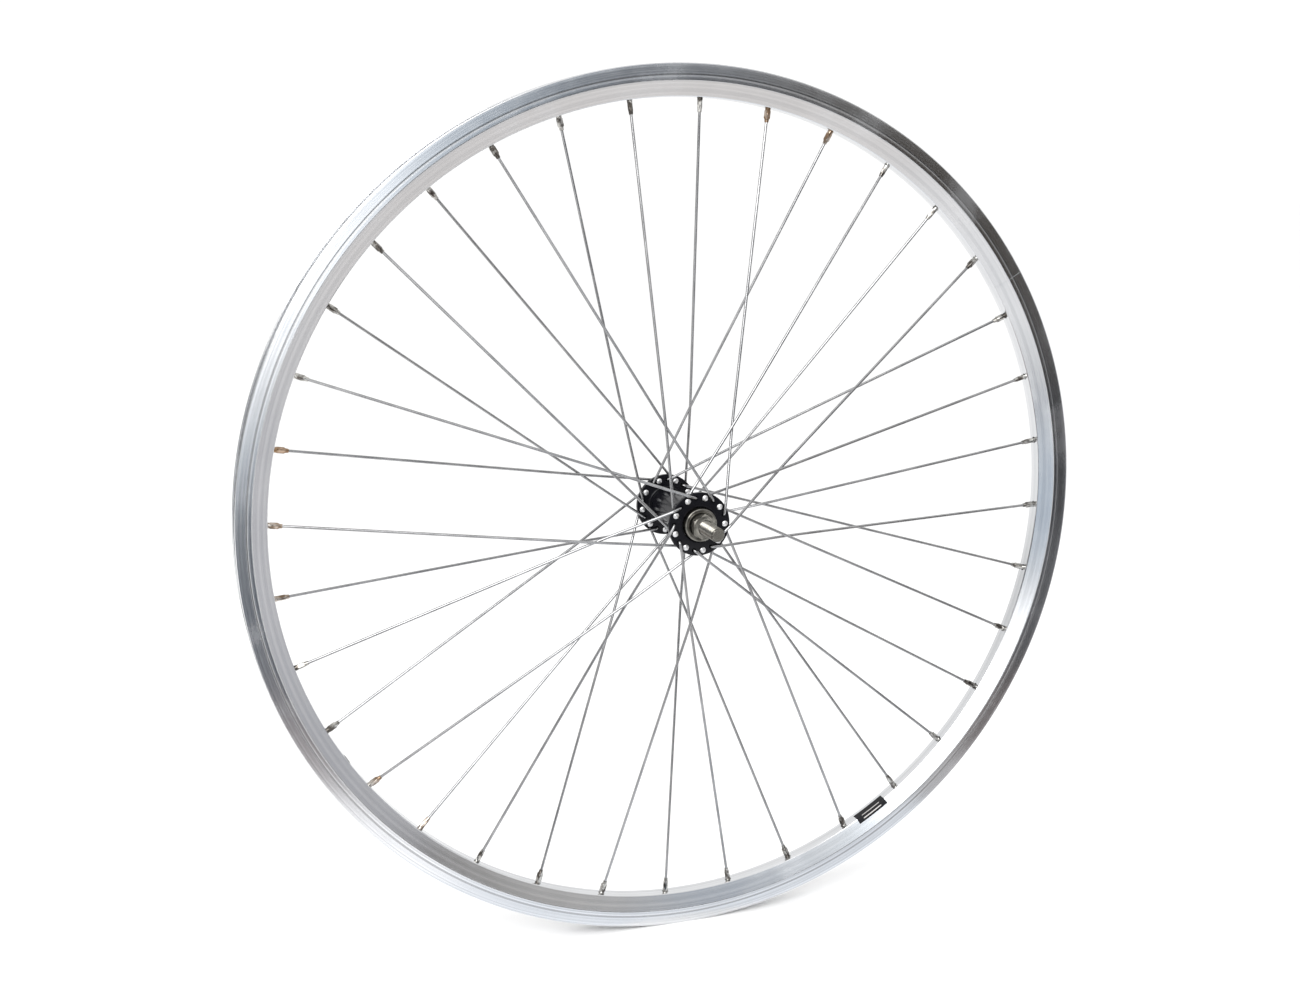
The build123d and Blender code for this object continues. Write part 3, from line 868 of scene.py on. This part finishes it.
# The slope below it mirrors the floor and a wall on the right, and the upper front at the foot of the wheel
card("grey_right", (1.7, -2.0, floor_height), (0, 1.8, 0), (0, 0, 0.8), (0.66, 0.66, 0.69))
card("grey_right_floor", (0.52, -1.2, floor_card), (1.2, 0, 0), (0, 0.9, 0), (0.72, 0.715, 0.74))
card("warm_floor", (0.13, -0.79, floor_card), (0.38, 0, 0), (0, 0.49, 0), (0.90, 0.865, 0.845))
card("blue_slope", (-0.21, -1.0, floor_height), (0.12, 0, 0), (0, 0, 0.22), (0.50, 0.58, 0.68))
card("grey_floor", (-0.22, -1.0, floor_card), (0.19, 0, 0), (0, 0.16, 0), (0.28, 0.29, 0.32))
card("pale_floor", (-0.15, -0.84, floor_card), (0.28, 0, 0), (0, 0.54, 0), (1.04, 1.04, 1.05))
card("blue_above", (0.22, -1.5, 0.49), (0.46, 0, 0), (0, 0, 0.6), (0.60, 0.645, 0.71))
card("grey_above", (0.68, -1.5, 0.49), (0.99, 0, 0), (0, 0, 0.6), (0.66, 0.645, 0.63))
# A small bright card makes the streaks on the axle and the spokes
card("bright_above", (-0.504, -0.753, 0.954), (-0.218, 0.206, 0), (-0.134, -0.141, -0.229), (7.0, 7.0, 7.0))
# Dark and grey cards behind and at the sides give both walls their contrast when they are seen from there
card("dark_back", (-0.98, 1.0, -0.1), (0.48, 0, 0), (0, 0, 0.45), (0.12, 0.12, 0.13))
card("dark_back_right", (1.25, 1.5, -0.3), (1.2, 0, 0), (0, 0, 0.62), (0.10, 0.10, 0.11))
card("grey_back_right", (0.75, 1.5, -0.3), (0.5, 0, 0), (0, 0, 0.62), (0.42, 0.44, 0.47))
card("grey_back_floor", (0.5, 0.0, floor_card), (0.6, 0, 0), (0, 0.6, 0), (0.58, 0.585, 0.60))
card("dark_back_left", (-2.45, 1.5, -0.3), (1.2, 0, 0), (0, 0, 0.62), (0.10, 0.10, 0.11))
card("dark_front_left", (-2.45, -1.5, -0.3), (1.2, 0, 0), (0, 0, 0.62), (0.10, 0.10, 0.11))
card("grey_front_left", (-1.25, -1.5, -0.3), (0.5, 0, 0), (0, 0, 0.62), (0.42, 0.44, 0.47))
card("grey_left_floor", (-1.1, -0.6, floor_card), (0.6, 0, 0), (0, 0.6, 0), (0.58, 0.585, 0.60))
card("grey_behind", (-0.55, 0.25, floor_height), (0.17, 0, 0), (0, 0, 0.36), (0.16, 0.16, 0.17))

key_data = bpy.data.lights.new("soft_key", "AREA")
key_data.shape, key_data.size, key_data.energy = "DISK", 1.5, 34.0
key = bpy.data.objects.new("soft_key", key_data)
bpy.context.scene.collection.objects.link(key)
key.location = (-1.0, -1.6, 1.3)
key.rotation_mode = "QUATERNION"
key.rotation_quaternion = (-key.location).to_track_quat("-Z", "Y")

camera_data = bpy.data.cameras.new("photo_camera")
camera_data.lens = 43.06
camera_data.sensor_width = 36.0
camera = bpy.data.objects.new("photo_camera", camera_data)
bpy.context.scene.collection.objects.link(camera)
azimuth, elevation, distance = np.radians(-19.629), np.radians(12.183), 1.13481
camera.location = distance * np.array([
    np.sin(azimuth) * np.cos(elevation), -np.cos(azimuth) * np.cos(elevation), np.sin(elevation),
])
aim = Vector((-0.02439, 0.0, 0.01177))
camera.rotation_mode = "QUATERNION"
camera.rotation_quaternion = (aim - camera.location).to_track_quat("-Z", "Y")
bpy.context.scene.camera = camera
